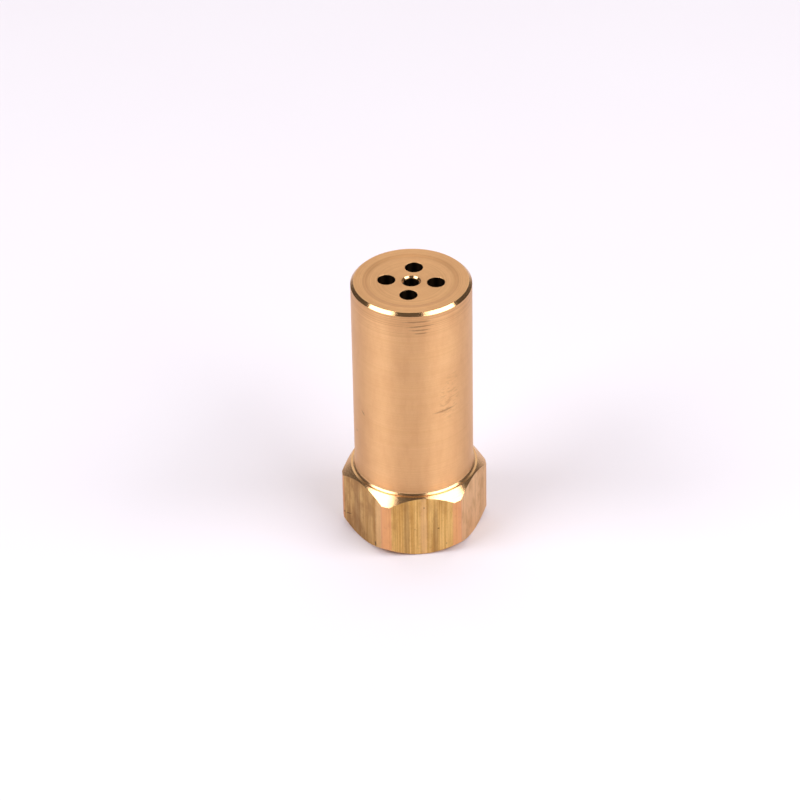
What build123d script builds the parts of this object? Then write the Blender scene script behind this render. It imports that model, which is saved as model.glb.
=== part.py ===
from build123d import *
import math
import os

# An air-atomising oil burner nozzle, in millimetres, standing on its inlet face.
# The vertical axis of the nozzle is Z. The origin is the middle of the inlet face,
# and one flat of the hexagon faces -Y. Air enters the threaded base and flows up round
# the oil stem. Oil enters the stem and passes the strainer, the check valve and the jet.

# ---- Outside of the body ----
total_height = 53.0
barrel_diameter = 22.0
hexagon_across_flats = 24.0
hexagon_across_corners = 26.9
hexagon_height = 13.0
root_fillet = 0.75
base_circle_diameter = 23.6
tip_bevel = 0.55
tip_rim_diameter = 17.4
tip_dish_diameter = 15.8
tip_dish_depth = 0.12

# ---- Spray ports in the end wall ----
port_count = 4
port_diameter = 3.2
port_circle_diameter = 9.0
port_clocking = -12.9
port_edge_break = 0.1
centre_port_diameter = 2.6
centre_countersink_diameter = 3.6
end_wall = 4.0

# ---- Inside of the body ----
shoulder_width = 0.7
chamber_length = 9.0
main_bore_diameter = 14.0
inlet_thread_major = 16.66
inlet_thread_minor = 14.95
inlet_thread_length = 11.0
relief_length = 1.6
relief_depth = 0.27
entry_lip = 0.14

# ---- Air side ----
swirler_height = 3.5
swirl_slot_count = 6
swirl_slot_width = 1.8
swirl_slot_floor_radius = 5.2
swirl_slot_lean = 32.0
spider_height = 3.5
spider_hub_wall = 0.6
spider_rim_wall = 0.5
spider_spoke_count = 4
spider_spoke_width = 1.4
spider_spoke_clocking = 45.0
wave_washer_height = 1.0
wave_washer_thickness = 0.3
wave_washer_width = 0.95
wave_washer_split = 4.0
wave_count = 3
circlip_thickness = 1.0
circlip_width = 1.2
circlip_groove_depth = 0.3
circlip_groove_width = 1.1
circlip_gap_angle = 44.0
circlip_lug_wall = 0.5
circlip_lug_clearance = 0.58

# ---- Oil stem ----
stem_length = 21.0
stem_diameter = 10.0
stem_spigot_diameter = 9.0
stem_spigot_length = 6.1
stem_flats_across = 8.0
stem_flats_length = 1.9
stem_edge_break = 0.3
oil_thread_major = 6.0
oil_thread_minor = 4.917
oil_thread_length = 5.5
strainer_bore_diameter = 6.2
strainer_bore_length = 5.5
valve_bore_diameter = 6.8

# ---- Oil jet ----
jet_thread_diameter = 8.0
jet_thread_runout = 0.4
jet_collar_across_flats = 10.0
jet_collar_across_corners = 11.2
jet_collar_height = 2.0
jet_washer_thickness = 0.5
jet_spigot_diameter = 8.0
jet_nose_length = 1.6
jet_nose_tip_diameter = 3.6
jet_bore_diameter = 4.6
jet_bore_end = 1.7
jet_orifice_diameter = 0.9
jet_cone_diameter = 3.0
jet_cone_depth = 1.6

# ---- Pieces in the jet ----
swirl_core_height = 2.4
swirl_core_groove = 0.7
swirl_core_slot = 0.45
swirl_core_slot_count = 4
lock_screw_height = 1.3
lock_screw_hole = 1.8
lock_screw_slot_width = 0.7
lock_screw_slot_depth = 0.6

# ---- Strainer ----
strainer_collar_height = 1.0
strainer_collar_hole = 3.4
gauze_diameter = 4.0
gauze_wall = 0.25
gauze_height = 3.5
strainer_cap_height = 0.6

# ---- Check valve ----
seat_seal_thickness = 0.5
seat_height = 1.8
seat_hole = 2.6
seat_cone_diameter = 3.2
ball_diameter = 3.5
ball_guide_skirt = 1.25
ball_guide_web = 0.65
ball_guide_flat_count = 3
ball_guide_flat_distance = 2.5
ball_guide_spigot_diameter = 2.2
ball_guide_spigot_height = 0.7
valve_lift = 1.0
spring_mean_diameter = 3.3
spring_wire = 0.4
spring_turns = 6.0

# ---- Clearances, each on the radius or along the axis ----
sliding_gap = 0.05
fitted_gap = 0.02
valve_gap = 0.02

# ---- Diameters that follow from others ----
chamber_diameter = main_bore_diameter - 2 * shoulder_width
circlip_outer = main_bore_diameter / 2 + circlip_groove_depth - fitted_gap
circlip_lug_radius = (circlip_outer - stem_spigot_diameter / 2 - circlip_lug_clearance) / 2
circlip_lug_hole = 2 * (circlip_lug_radius - circlip_lug_wall)

# ---- Heights, worked out down from the shoulder that the swirler seats on ----
chamber_top = total_height - end_wall
shoulder = chamber_top - chamber_length
swirler_bottom = shoulder - swirler_height
collar_bottom = swirler_bottom - jet_collar_height
stem_top = collar_bottom - jet_washer_thickness
stem_bottom = stem_top - stem_length
stem_shoulder = stem_bottom + stem_spigot_length
spider_bottom = stem_shoulder - spider_height
circlip_top = spider_bottom - wave_washer_height
circlip_bottom = circlip_top - circlip_thickness
relief_top = inlet_thread_length + relief_length

# ---- Heights inside the stem and the jet ----
strainer_ledge = stem_bottom + oil_thread_length
valve_ledge = strainer_ledge + strainer_bore_length
seat_bottom = valve_ledge + seat_seal_thickness
seat_top = seat_bottom + seat_height
ball_radius = ball_diameter / 2
ball_contact_radius = ball_radius * math.cos(math.radians(45))
ball_centre = seat_top - (seat_cone_diameter / 2 - ball_contact_radius) + ball_contact_radius + valve_gap
ball_top = ball_centre + ball_radius
guide_web_bottom = ball_top + valve_gap
guide_bottom = guide_web_bottom - ball_guide_skirt
guide_top = guide_web_bottom + ball_guide_web
shank_bottom = guide_top + valve_lift + valve_gap
jet_tip = shoulder + jet_nose_length
jet_bore_top = shoulder - jet_bore_end
core_bottom = jet_bore_top - swirl_core_height
lock_screw_bottom = core_bottom - lock_screw_height

BIG = 200.0
OVERRUN = 1.0
UP = (Align.CENTER, Align.CENTER, Align.MIN)


def disc(diameter, bottom, top):
    """An upright cylinder on the axis, from one height to another."""
    return Pos(0, 0, bottom) * Cylinder(diameter / 2, top - bottom, align=UP)


def turned(points):
    """A solid turned about the axis from an outline of (radius, height) points."""
    outline = Polyline(*[(radius, 0, height) for radius, height in points], close=True)
    return revolve(make_face(outline), axis=Axis.Z)


def hexagon(across_flats, bottom, top):
    """A hexagonal prism with a flat facing -Y."""
    outline = RegularPolygon(radius=across_flats / 2, side_count=6, major_radius=False)
    return Pos(0, 0, bottom) * extrude(outline, amount=top - bottom)


def tapped_hole(minor, major, bottom, top):
    """A hole that opens downwards, drilled at the thread's minor diameter, with its entry cone."""
    mouth = major / 2 + entry_lip
    entry = Pos(0, 0, bottom) * Cone(mouth, minor / 2, mouth - minor / 2, align=UP)
    return disc(minor, bottom, top) + entry


def around(count, start=0.0):
    """Equal angles round the axis, in degrees."""
    return [start + index * 360.0 / count for index in range(count)]


def body_outline():
    """The turned outline of the body: base chamfer, hexagon, root fillet, barrel and dished tip."""
    corner = hexagon_across_corners / 2
    base = base_circle_diameter / 2
    barrel = barrel_diameter / 2
    ledge = barrel + root_fillet
    lower = Polyline(
        (0, 0, 0),
        (base, 0, 0),
        (corner, 0, corner - base),
        (corner, 0, hexagon_height - (corner - ledge)),
        (ledge, 0, hexagon_height),
    )
    quarter = root_fillet * math.cos(math.radians(45))
    root = ThreePointArc(
        (ledge, 0, hexagon_height),
        (ledge - quarter, 0, hexagon_height + root_fillet - quarter),
        (barrel, 0, hexagon_height + root_fillet),
    )
    upper = Polyline(
        (barrel, 0, hexagon_height + root_fillet),
        (barrel, 0, total_height - tip_bevel),
        (barrel - tip_bevel, 0, total_height),
        (tip_rim_diameter / 2, 0, total_height),
        (tip_dish_diameter / 2, 0, total_height - tip_dish_depth),
        (0, 0, total_height - tip_dish_depth),
        (0, 0, 0),
    )
    return make_face([*lower.edges(), *root.edges(), *upper.edges()])


def spray_ports():
    """The ring of drilled ports and the countersunk port in the middle."""
    face = total_height - tip_dish_depth
    port = disc(port_diameter, chamber_top - OVERRUN, total_height + OVERRUN)
    edge = Pos(0, 0, face - port_edge_break) * Cone(
        port_diameter / 2, port_diameter / 2 + 2 * port_edge_break, 2 * port_edge_break, align=UP
    )
    cuts = disc(centre_port_diameter, chamber_top - OVERRUN, total_height + OVERRUN)
    depth = (centre_countersink_diameter - centre_port_diameter) / 2
    sink = turned(
        [
            (0, face - depth),
            (centre_port_diameter / 2, face - depth),
            (centre_countersink_diameter / 2, face),
            (centre_countersink_diameter / 2, total_height + OVERRUN),
            (0, total_height + OVERRUN),
        ]
    )
    cuts += sink
    for angle in around(port_count, port_clocking):
        cuts += Rot(0, 0, angle) * (Pos(port_circle_diameter / 2, 0, 0) * (port + edge))
    return cuts


def nozzle_body():
    """The one-piece body: a hexagon foot and a turned barrel with the spray ports in its end."""
    blank = revolve(body_outline(), axis=Axis.Z) & hexagon(hexagon_across_flats, 0, total_height)
    cavity = disc(chamber_diameter, shoulder - OVERRUN, chamber_top)
    cavity += disc(main_bore_diameter, 0, shoulder)
    cavity += tapped_hole(inlet_thread_minor, inlet_thread_major, 0, inlet_thread_length)
    cavity += disc(inlet_thread_major + 2 * relief_depth, inlet_thread_length, relief_top)
    groove_middle = circlip_bottom + circlip_thickness / 2
    cavity += disc(
        main_bore_diameter + 2 * circlip_groove_depth,
        groove_middle - circlip_groove_width / 2,
        groove_middle + circlip_groove_width / 2,
    )
    return blank - cavity - spray_ports()


def air_swirler():
    """The ring that turns the air: leaning slots round its rim, seated on the body's shoulder."""
    outer = main_bore_diameter / 2 - sliding_gap
    ring = disc(2 * outer, swirler_bottom, shoulder) - disc(jet_spigot_diameter, swirler_bottom, shoulder)
    reach = outer - swirl_slot_floor_radius + OVERRUN
    slot = Pos(swirl_slot_floor_radius + reach / 2, 0, (swirler_bottom + shoulder) / 2) * (
        Rot(swirl_slot_lean, 0, 0) * Box(reach, swirl_slot_width, 3 * swirler_height)
    )
    for angle in around(swirl_slot_count):
        ring -= Rot(0, 0, angle) * slot
    return ring


def guide_spider():
    """The spoked ring that centres the stem in the bore and lets the air past."""
    outer = main_bore_diameter - 2 * sliding_gap
    inner = stem_spigot_diameter + 2 * sliding_gap
    hub_outer = inner + 2 * spider_hub_wall
    rim_inner = outer - 2 * spider_rim_wall
    hub = disc(hub_outer, spider_bottom, stem_shoulder)
    rim = disc(outer, spider_bottom, stem_shoulder) - disc(rim_inner, spider_bottom, stem_shoulder)
    reach = (outer - spider_rim_wall) / 2
    spokes = hub
    for angle in around(spider_spoke_count, spider_spoke_clocking):
        spoke = Pos(reach / 2, 0, (spider_bottom + stem_shoulder) / 2) * Box(
            reach, spider_spoke_width, spider_height
        )
        spokes += Rot(0, 0, angle) * spoke
    return (spokes + rim) - disc(inner, spider_bottom, stem_shoulder)


def wave_washer():
    """The single-turn wave spring that takes up the play between the circlip and the spider."""
    outer = main_bore_diameter / 2 - sliding_gap
    height = circlip_top + wave_washer_height / 2
    swing = (wave_washer_height - wave_washer_thickness) / 2 - valve_gap
    columns = 8 * wave_count
    turn = 360.0 - wave_washer_split
    rows = []
    for radius in (outer - wave_washer_width, outer):
        row = []
        for column in range(columns + 1):
            angle = math.radians(wave_washer_split / 2 + turn * column / columns)
            wave = swing * math.sin(wave_count * angle)
            row.append(Vector(radius * math.cos(angle), radius * math.sin(angle), height + wave))
        rows.append(row)
    return thicken(Face.make_surface_from_array_of_points(rows), amount=wave_washer_thickness / 2, both=True)


def circlip():
    """The internal retaining ring, with a pair of pierced lugs for the pliers."""
    reach = 2 * circlip_outer
    ring = disc(2 * circlip_outer, circlip_bottom, circlip_top)
    ring -= disc(2 * (circlip_outer - circlip_width), circlip_bottom, circlip_top)
    half_gap = math.radians(circlip_gap_angle / 2)
    mouth = Polyline(
        (0, 0),
        (reach * math.cos(half_gap), -reach * math.sin(half_gap)),
        (reach * math.cos(half_gap), reach * math.sin(half_gap)),
        close=True,
    )
    ring -= Pos(0, 0, circlip_bottom) * extrude(make_face(mouth), amount=circlip_thickness)
    lug_centre = circlip_outer - circlip_lug_radius
    lug_turn = circlip_gap_angle / 2 + math.degrees(circlip_lug_radius / lug_centre)
    for angle in (-lug_turn, lug_turn):
        place = Rot(0, 0, angle) * Pos(lug_centre, 0, 0)
        ring += place * disc(2 * circlip_lug_radius, circlip_bottom, circlip_top)
        ring -= place * disc(circlip_lug_hole, circlip_bottom, circlip_top)
    return ring


def oil_stem():
    """The oil stem: threaded inlet below, strainer and valve bores, thread for the jet above."""
    spigot = stem_spigot_diameter / 2
    barrel = stem_diameter / 2
    stem = turned(
        [
            (0, stem_bottom),
            (spigot - stem_edge_break, stem_bottom),
            (spigot, stem_bottom + stem_edge_break),
            (spigot, stem_shoulder),
            (barrel, stem_shoulder),
            (barrel, stem_top - stem_edge_break),
            (barrel - stem_edge_break, stem_top),
            (0, stem_top),
        ]
    )
    for side in (-1, 1):
        flat = Pos(0, side * (stem_flats_across / 2 + BIG / 2), stem_bottom + stem_flats_length / 2) * Box(
            BIG, BIG, stem_flats_length
        )
        stem -= flat
    bore = tapped_hole(oil_thread_minor, oil_thread_major, stem_bottom, strainer_ledge)
    bore += disc(strainer_bore_diameter, strainer_ledge, valve_ledge)
    bore += disc(valve_bore_diameter, valve_ledge, stem_top)
    bore += disc(jet_thread_diameter, shank_bottom - jet_thread_runout, stem_top)
    return stem - bore


def oil_jet():
    """The screwed jet: thread below, hexagon collar, plain spigot through the swirler, drilled nose."""
    spigot = jet_spigot_diameter / 2 - fitted_gap
    shank = jet_thread_diameter / 2 - sliding_gap
    tip = jet_nose_tip_diameter / 2
    jet = turned(
        [
            (0, shank_bottom),
            (shank - stem_edge_break, shank_bottom),
            (shank, shank_bottom + stem_edge_break),
            (shank, collar_bottom),
            (spigot, collar_bottom),
            (spigot, shoulder),
            (tip, jet_tip),
            (0, jet_tip),
        ]
    )
    collar = hexagon(jet_collar_across_flats, collar_bottom, swirler_bottom)
    jet += collar & disc(jet_collar_across_corners, collar_bottom, swirler_bottom)
    orifice = jet_orifice_diameter / 2
    bore = turned(
        [
            (0, shank_bottom - OVERRUN),
            (jet_bore_diameter / 2, shank_bottom - OVERRUN),
            (jet_bore_diameter / 2, jet_bore_top),
            (jet_cone_diameter / 2, jet_bore_top),
            (orifice, jet_bore_top + jet_cone_depth),
            (orifice, jet_tip - orifice),
            (3 * orifice, jet_tip + orifice),
            (0, jet_tip + orifice),
        ]
    )
    return jet - bore


def jet_washer():
    """The soft copper ring that seals the jet against the stem."""
    ring = disc(stem_diameter - 2 * stem_edge_break, stem_top, collar_bottom)
    return ring - disc(jet_thread_diameter + 2 * sliding_gap, stem_top, collar_bottom)


def swirl_core():
    """The plug in the jet: grooves down its side and tangential slots across its top."""
    radius = jet_bore_diameter / 2 - sliding_gap
    core = disc(2 * radius, core_bottom, jet_bore_top)
    for angle in around(swirl_core_slot_count):
        groove = Pos(radius, 0, (core_bottom + jet_bore_top) / 2) * Box(
            swirl_core_groove, swirl_core_groove, BIG
        )
        core -= Rot(0, 0, angle) * groove
        slot = Pos(radius, swirl_core_slot, jet_bore_top) * Box(2 * radius, swirl_core_slot, 2 * swirl_core_slot)
        core -= Rot(0, 0, angle) * slot
    return core


def lock_screw():
    """The hollow slotted screw that holds the swirl core up in the jet."""
    screw = disc(jet_bore_diameter - 2 * sliding_gap, lock_screw_bottom, core_bottom)
    screw -= disc(lock_screw_hole, lock_screw_bottom, core_bottom)
    screw -= Pos(0, 0, lock_screw_bottom) * Box(BIG, lock_screw_slot_width, 2 * lock_screw_slot_depth)
    return screw


def strainer_collar():
    """The turned foot of the strainer, seated on the ledge above the oil thread."""
    top = strainer_ledge + strainer_collar_height
    collar = disc(strainer_bore_diameter - 2 * sliding_gap, strainer_ledge, top)
    return collar - disc(strainer_collar_hole, strainer_ledge, top)


def strainer_gauze():
    """The gauze tube of the strainer, as a plain sleeve of the same size."""
    bottom = strainer_ledge + strainer_collar_height
    top = bottom + gauze_height
    return disc(gauze_diameter, bottom, top) - disc(gauze_diameter - 2 * gauze_wall, bottom, top)


def strainer_cap():
    """The cap that closes the top of the gauze."""
    bottom = strainer_ledge + strainer_collar_height + gauze_height
    radius = gauze_diameter / 2
    top = bottom + strainer_cap_height
    shoulder_height = bottom + strainer_cap_height / 2
    return turned([(0, bottom), (radius, bottom), (radius, shoulder_height), (radius / 2, top), (0, top)])


def seat_seal():
    """The flat seal under the valve seat."""
    ring = disc(valve_bore_diameter - 2 * sliding_gap, valve_ledge, seat_bottom)
    return ring - disc(strainer_bore_diameter - 2 * seat_seal_thickness, valve_ledge, seat_bottom)


def valve_seat():
    """The bush that the ball closes on, with a 45 degree seat."""
    outer = valve_bore_diameter / 2 - sliding_gap
    hole = seat_hole / 2
    cone = seat_cone_diameter / 2
    return turned(
        [
            (hole, seat_bottom),
            (outer, seat_bottom),
            (outer, seat_top),
            (cone, seat_top),
            (hole, seat_top - (cone - hole)),
        ]
    )


def check_ball():
    """The valve ball, resting on its seat."""
    return Pos(0, 0, ball_centre) * Sphere(ball_radius)


def ball_guide():
    """The cup that carries the ball and the spring, with flats on its side for the oil."""
    outer = valve_bore_diameter / 2 - sliding_gap
    spigot = ball_guide_spigot_diameter / 2
    recess = ball_radius + sliding_gap
    guide = turned(
        [
            (0, guide_web_bottom),
            (recess, guide_web_bottom),
            (recess, guide_bottom),
            (outer, guide_bottom),
            (outer, guide_top),
            (spigot, guide_top),
            (spigot, guide_top + ball_guide_spigot_height),
            (0, guide_top + ball_guide_spigot_height),
        ]
    )
    for angle in around(ball_guide_flat_count):
        guide -= Rot(0, 0, angle) * (Pos(ball_guide_flat_distance + BIG / 2, 0, 0) * Box(BIG, BIG, BIG))
    return guide


def check_spring():
    """The wire spring that closes the valve, with both ends ground flat."""
    length = lock_screw_bottom - guide_top
    path = Helix(pitch=length / spring_turns, height=length, radius=spring_mean_diameter / 2)
    start = Plane(origin=path @ 0, x_dir=(1, 0, 0), z_dir=path % 0)
    coil = Pos(0, 0, guide_top) * sweep(start * Circle(spring_wire / 2), path=path, is_frenet=True)
    return coil & disc(2 * spring_mean_diameter, guide_top, lock_screw_bottom)


pieces = {
    "nozzle_body": nozzle_body(),
    "air_swirler": air_swirler(),
    "guide_spider": guide_spider(),
    "wave_washer": wave_washer(),
    "retaining_circlip": circlip(),
    "oil_stem": oil_stem(),
    "oil_jet": oil_jet(),
    "jet_washer": jet_washer(),
    "swirl_core": swirl_core(),
    "lock_screw": lock_screw(),
    "strainer_collar": strainer_collar(),
    "strainer_gauze": strainer_gauze(),
    "strainer_cap": strainer_cap(),
    "seat_seal": seat_seal(),
    "valve_seat": valve_seat(),
    "check_ball": check_ball(),
    "ball_guide": ball_guide(),
    "check_spring": check_spring(),
}

os.makedirs("parts", exist_ok=True)
for name, piece in pieces.items():
    export_step(piece, f"parts/{name}.step")
    print(f"{name}: {len(piece.solids())} solid, {piece.volume:.2f} mm3")
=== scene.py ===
# %% [markdown]
# # An oil burner nozzle, dressed around its frame
#
# The nozzle is one brass body, turned from hexagon bar, with an oil stem, a jet, an air
# swirler and a small check valve inside it. The frame holds every piece at its real size.
# This lesson makes the surfaces that the eye meets: the turned and drawn brass, the cut
# threads, the woven strainer and the wire spring. Everything is in metres, standing on z = 0.

# %% Load the frame
import math

import bmesh
import bpy
import numpy as np
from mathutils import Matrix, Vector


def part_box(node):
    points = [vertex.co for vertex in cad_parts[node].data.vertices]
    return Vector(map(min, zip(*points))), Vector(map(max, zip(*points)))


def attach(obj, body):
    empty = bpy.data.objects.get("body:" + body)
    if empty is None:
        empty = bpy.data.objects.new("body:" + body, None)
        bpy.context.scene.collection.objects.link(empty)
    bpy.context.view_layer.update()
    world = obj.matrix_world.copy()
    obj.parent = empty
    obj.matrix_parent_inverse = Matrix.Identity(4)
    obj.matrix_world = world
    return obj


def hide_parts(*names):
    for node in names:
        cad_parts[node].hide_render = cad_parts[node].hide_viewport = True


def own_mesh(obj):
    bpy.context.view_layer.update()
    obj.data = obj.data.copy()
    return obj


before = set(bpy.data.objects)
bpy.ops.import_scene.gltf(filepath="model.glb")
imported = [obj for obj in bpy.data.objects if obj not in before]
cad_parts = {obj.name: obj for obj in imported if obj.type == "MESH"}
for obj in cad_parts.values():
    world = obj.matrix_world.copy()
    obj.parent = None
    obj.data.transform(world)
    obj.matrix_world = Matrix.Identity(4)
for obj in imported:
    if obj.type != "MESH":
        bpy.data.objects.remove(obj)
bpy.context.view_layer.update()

MM = 0.001
print("nodes:", len(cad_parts))

# %% [markdown]
# The camera comes first, because every finish is judged through it. It is a long lens from
# well back, looking down at about 35 degrees, so upright lines stay almost parallel. It is
# placed by the point it looks at, its distance, and three angles.

# %% Camera
CAMERA_TURN = math.radians(-5.92)
CAMERA_RISE = math.radians(35.22)
CAMERA_ROLL = math.radians(1.07)
CAMERA_DISTANCE = 708.3 * MM
CAMERA_SIDE = -2.41 * MM
CAMERA_AIM_HEIGHT = 26.7 * MM
CAMERA_LENS = 173.4


def make_camera():
    """A camera on a sphere round the aim point: turn about Z, then rise, then roll on its own axis."""
    right = np.array([math.cos(CAMERA_TURN), math.sin(CAMERA_TURN), 0.0])
    ahead = np.array([-right[1], right[0], 0.0])
    forward = math.cos(CAMERA_RISE) * ahead - math.sin(CAMERA_RISE) * np.array([0.0, 0.0, 1.0])
    up = np.cross(right, forward)
    aim = CAMERA_SIDE * right + np.array([0.0, 0.0, CAMERA_AIM_HEIGHT])
    place = aim - CAMERA_DISTANCE * forward
    rolled_right = math.cos(CAMERA_ROLL) * right - math.sin(CAMERA_ROLL) * up
    rolled_up = math.sin(CAMERA_ROLL) * right + math.cos(CAMERA_ROLL) * up
    matrix = np.eye(4)
    matrix[:3, 0], matrix[:3, 1], matrix[:3, 2], matrix[:3, 3] = rolled_right, rolled_up, -forward, place
    data = bpy.data.cameras.new("camera")
    data.lens = CAMERA_LENS
    data.sensor_width = 36.0
    data.clip_start = 0.01
    camera = bpy.data.objects.new("camera", data)
    camera.matrix_world = matrix.T.tolist()
    bpy.context.collection.objects.link(camera)
    bpy.context.scene.camera = camera
    return camera


camera = make_camera()
print("camera at", [round(value, 3) for value in camera.location])

# %% [markdown]
# A mesh from numpy is an array of points and arrays of faces. Nearly every piece here is a
# ring of columns turned round the Z axis, so two helpers make most of the shapes: one rounds
# the corners of an outline, and one sweeps the outline round the axis.

# %% Mesh helpers
COLUMNS = 96


def put_mesh(name, points, faces):
    """An object from points and faces, turned right side out by the sign of its volume.

    The volume is the sum over the fan triangles of a . (b x c) / 6.
    """
    mesh = bpy.data.meshes.new(name)
    mesh.from_pydata(points.tolist(), [], faces)
    work = bmesh.new()
    work.from_mesh(mesh)
    if work.calc_volume(signed=True) < 0:
        bmesh.ops.reverse_faces(work, faces=work.faces)
    work.to_mesh(mesh)
    work.free()
    thing = bpy.data.objects.new(name, mesh)
    bpy.context.collection.objects.link(thing)
    return thing


def rounded_outline(corners, steps=3, support=0.06 * MM):
    """An outline of (radius, height, rounding) corners, as points.

    Each corner with a rounding becomes an arc that is tangent to both its sides: the arc
    starts rounding * tan(half the turn) before the corner. A support point beside each end
    of the arc, where the side has room for it, keeps the shading of the flat next to it flat.
    """
    points = []
    count = len(corners)
    for index, (radius, height, rounding) in enumerate(corners):
        here = np.array([radius, height])
        if rounding == 0:
            points.append(here)
            continue
        before = np.array(corners[index - 1][:2]) - here
        after = np.array(corners[(index + 1) % count][:2]) - here
        room_before, room_after = np.linalg.norm(before), np.linalg.norm(after)
        before /= room_before
        after /= room_after
        half = math.acos(np.clip(before @ after, -1.0, 1.0)) / 2
        reach = rounding / math.tan(half)
        middle = here + (before + after) / np.linalg.norm(before + after) * rounding / math.sin(half)
        start = here + before * reach - middle
        end = here + after * reach - middle
        sweep = math.pi - 2 * half
        share = np.linspace(0.0, 1.0, steps + 1)[:, None]
        arc = (np.sin((1 - share) * sweep) * start + np.sin(share * sweep) * end) / math.sin(sweep)
        if room_before > reach + support:
            points.append(here + before * (reach + support))
        points.extend(middle + arc)
        if room_after > reach + support:
            points.append(here + after * (reach + support))
    points = np.array(points)
    moved = np.linalg.norm(points - np.roll(points, 1, axis=0), axis=1)
    return points[moved > 1e-4 * MM]


def lathe(name, outline, columns=COLUMNS, centre=(0.0, 0.0)):
    """The outline of (radius, height) points turned about an upright axis.

    Column k stands at the angle 2 pi k / columns. An outline that touches the axis at both
    ends closes there in one point; any other outline closes on itself as a ring.
    """
    turn = np.linspace(0.0, 2 * np.pi, columns, endpoint=False)
    closed = outline[0][0] > 1e-9
    rows = outline if closed else outline[1:-1]
    x = centre[0] + rows[:, 0, None] * np.cos(turn)
    y = centre[1] + rows[:, 0, None] * np.sin(turn)
    z = np.repeat(rows[:, 1, None], columns, axis=1)
    points = np.stack([x, y, z], axis=2).reshape(-1, 3)
    row = np.arange(len(rows) if closed else len(rows) - 1)[:, None] * columns
    step = np.arange(columns)[None, :]
    following = (step + 1) % columns
    above = (row + columns) % len(points)
    faces = np.stack([row + step, row + following, above + following, above + step], axis=2)
    faces = faces.reshape(-1, 4).tolist()
    if not closed:
        first, last = len(points), len(points) + 1
        ends = np.array([[*centre, outline[0][1]], [*centre, outline[-1][1]]])
        points = np.vstack([points, ends])
        top = (len(rows) - 1) * columns
        ring = np.arange(columns)
        turned = (ring + 1) % columns
        faces += np.stack([turned, ring, np.full(columns, first)], axis=1).tolist()
        faces += np.stack([top + ring, top + turned, np.full(columns, last)], axis=1).tolist()
    return put_mesh(name, points, faces)


def hexagon_prism(name, across_flats, bottom, top):
    """A hexagonal prism with a flat facing -Y: corners at every 60 degrees from +X."""
    turn = np.arange(6) * np.pi / 3
    corner = across_flats / math.sqrt(3)
    ring = np.stack([corner * np.cos(turn), corner * np.sin(turn)], axis=1)
    low = np.column_stack([ring, np.full(6, bottom)])
    high = np.column_stack([ring, np.full(6, top)])
    sides = [[k, (k + 1) % 6, 6 + (k + 1) % 6, 6 + k] for k in range(6)]
    return put_mesh(name, np.vstack([low, high]), sides + [[5, 4, 3, 2, 1, 0], [6, 7, 8, 9, 10, 11]])


def carve(piece, tool, operation="DIFFERENCE"):
    """The piece with the tool cut away, or only the part inside the tool, as a finished mesh."""
    modifier = piece.modifiers.new("carve", "BOOLEAN")
    modifier.operation = operation
    modifier.solver = "EXACT"
    modifier.object = tool
    depsgraph = bpy.context.evaluated_depsgraph_get()
    mesh = bpy.data.meshes.new_from_object(piece.evaluated_get(depsgraph), depsgraph=depsgraph)
    piece.modifiers.clear()
    old = piece.data
    piece.data = mesh
    bpy.data.meshes.remove(old)
    bpy.data.objects.remove(tool)
    return piece


def merge_close(piece, distance=0.0005 * MM):
    """Points nearer than the distance become one, which joins loose triangles and drops slivers."""
    work = bmesh.new()
    work.from_mesh(piece.data)
    bmesh.ops.remove_doubles(work, verts=work.verts, dist=distance)
    bmesh.ops.dissolve_degenerate(work, edges=work.edges, dist=distance)
    work.to_mesh(piece.data)
    work.free()
    return piece


def smooth(piece, sharp_from=20.0):
    """Smooth shading, with edges that turn more than the given degrees kept sharp."""
    piece.data.shade_smooth()
    piece.data.set_sharp_from_angle(angle=math.radians(sharp_from))
    return piece


print("helpers ready, columns per ring:", COLUMNS)

# %% [markdown]
# A thread is a V carried along a helix. The tool below is that V as a closed solid, so that
# carving it out of a hole leaves a female thread and carving it out of a rod leaves a male one.

# %% Thread tool


def thread_tool(name, mouth_radius, floor_radius, pitch, bottom, top, flank=30.0, columns=COLUMNS):
    """A V section swept on a helix: angle t gives the height bottom + pitch * t / (2 pi).

    The section is wide at the mouth, on the surface that is cut, and an eighth of the pitch
    wide at the floor. It starts a little outside the mouth so that it cuts cleanly.
    """
    over = 0.04 * MM * np.sign(mouth_radius - floor_radius)
    slope = math.tan(math.radians(flank))
    floor_half = pitch / 16
    mouth_half = floor_half + abs(mouth_radius + over - floor_radius) * slope
    soften = 0.35 * floor_half
    section = np.array(
        [
            [mouth_radius + over, -mouth_half],
            [floor_radius + over, -floor_half - soften],
            [floor_radius, -floor_half + soften],
            [floor_radius, floor_half - soften],
            [floor_radius + over, floor_half + soften],
            [mouth_radius + over, mouth_half],
        ]
    )
    sides = len(section)
    steps = int(columns * (top - bottom) / pitch)
    turn = np.linspace(0.0, 2 * np.pi * (top - bottom) / pitch, steps + 1)
    x = section[None, :, 0] * np.cos(turn)[:, None]
    y = section[None, :, 0] * np.sin(turn)[:, None]
    z = bottom + section[None, :, 1] + (pitch * turn / (2 * np.pi))[:, None]
    points = np.stack([x, y, z], axis=2).reshape(-1, 3)
    row = np.arange(steps)[:, None] * sides
    side = np.arange(sides)[None, :]
    following = (side + 1) % sides
    faces = np.stack([row + side, row + following, row + sides + following, row + sides + side], axis=2)
    caps = [list(range(sides))[::-1], [steps * sides + k for k in range(sides)]]
    return put_mesh(name, points, faces.reshape(-1, 4).tolist() + caps)


print("thread tool ready")

# %% [markdown]
# The body is one bar of hexagon brass. The lathe cut the barrel, the chamfers and the bore in
# one setting, so the body is a turned outline, kept only inside a hexagonal prism, then
# drilled for the ports and tapped for the pipe. Every sharp turned edge has been broken by a
# few hundredths, and that thin rounding is what catches the light.

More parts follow.
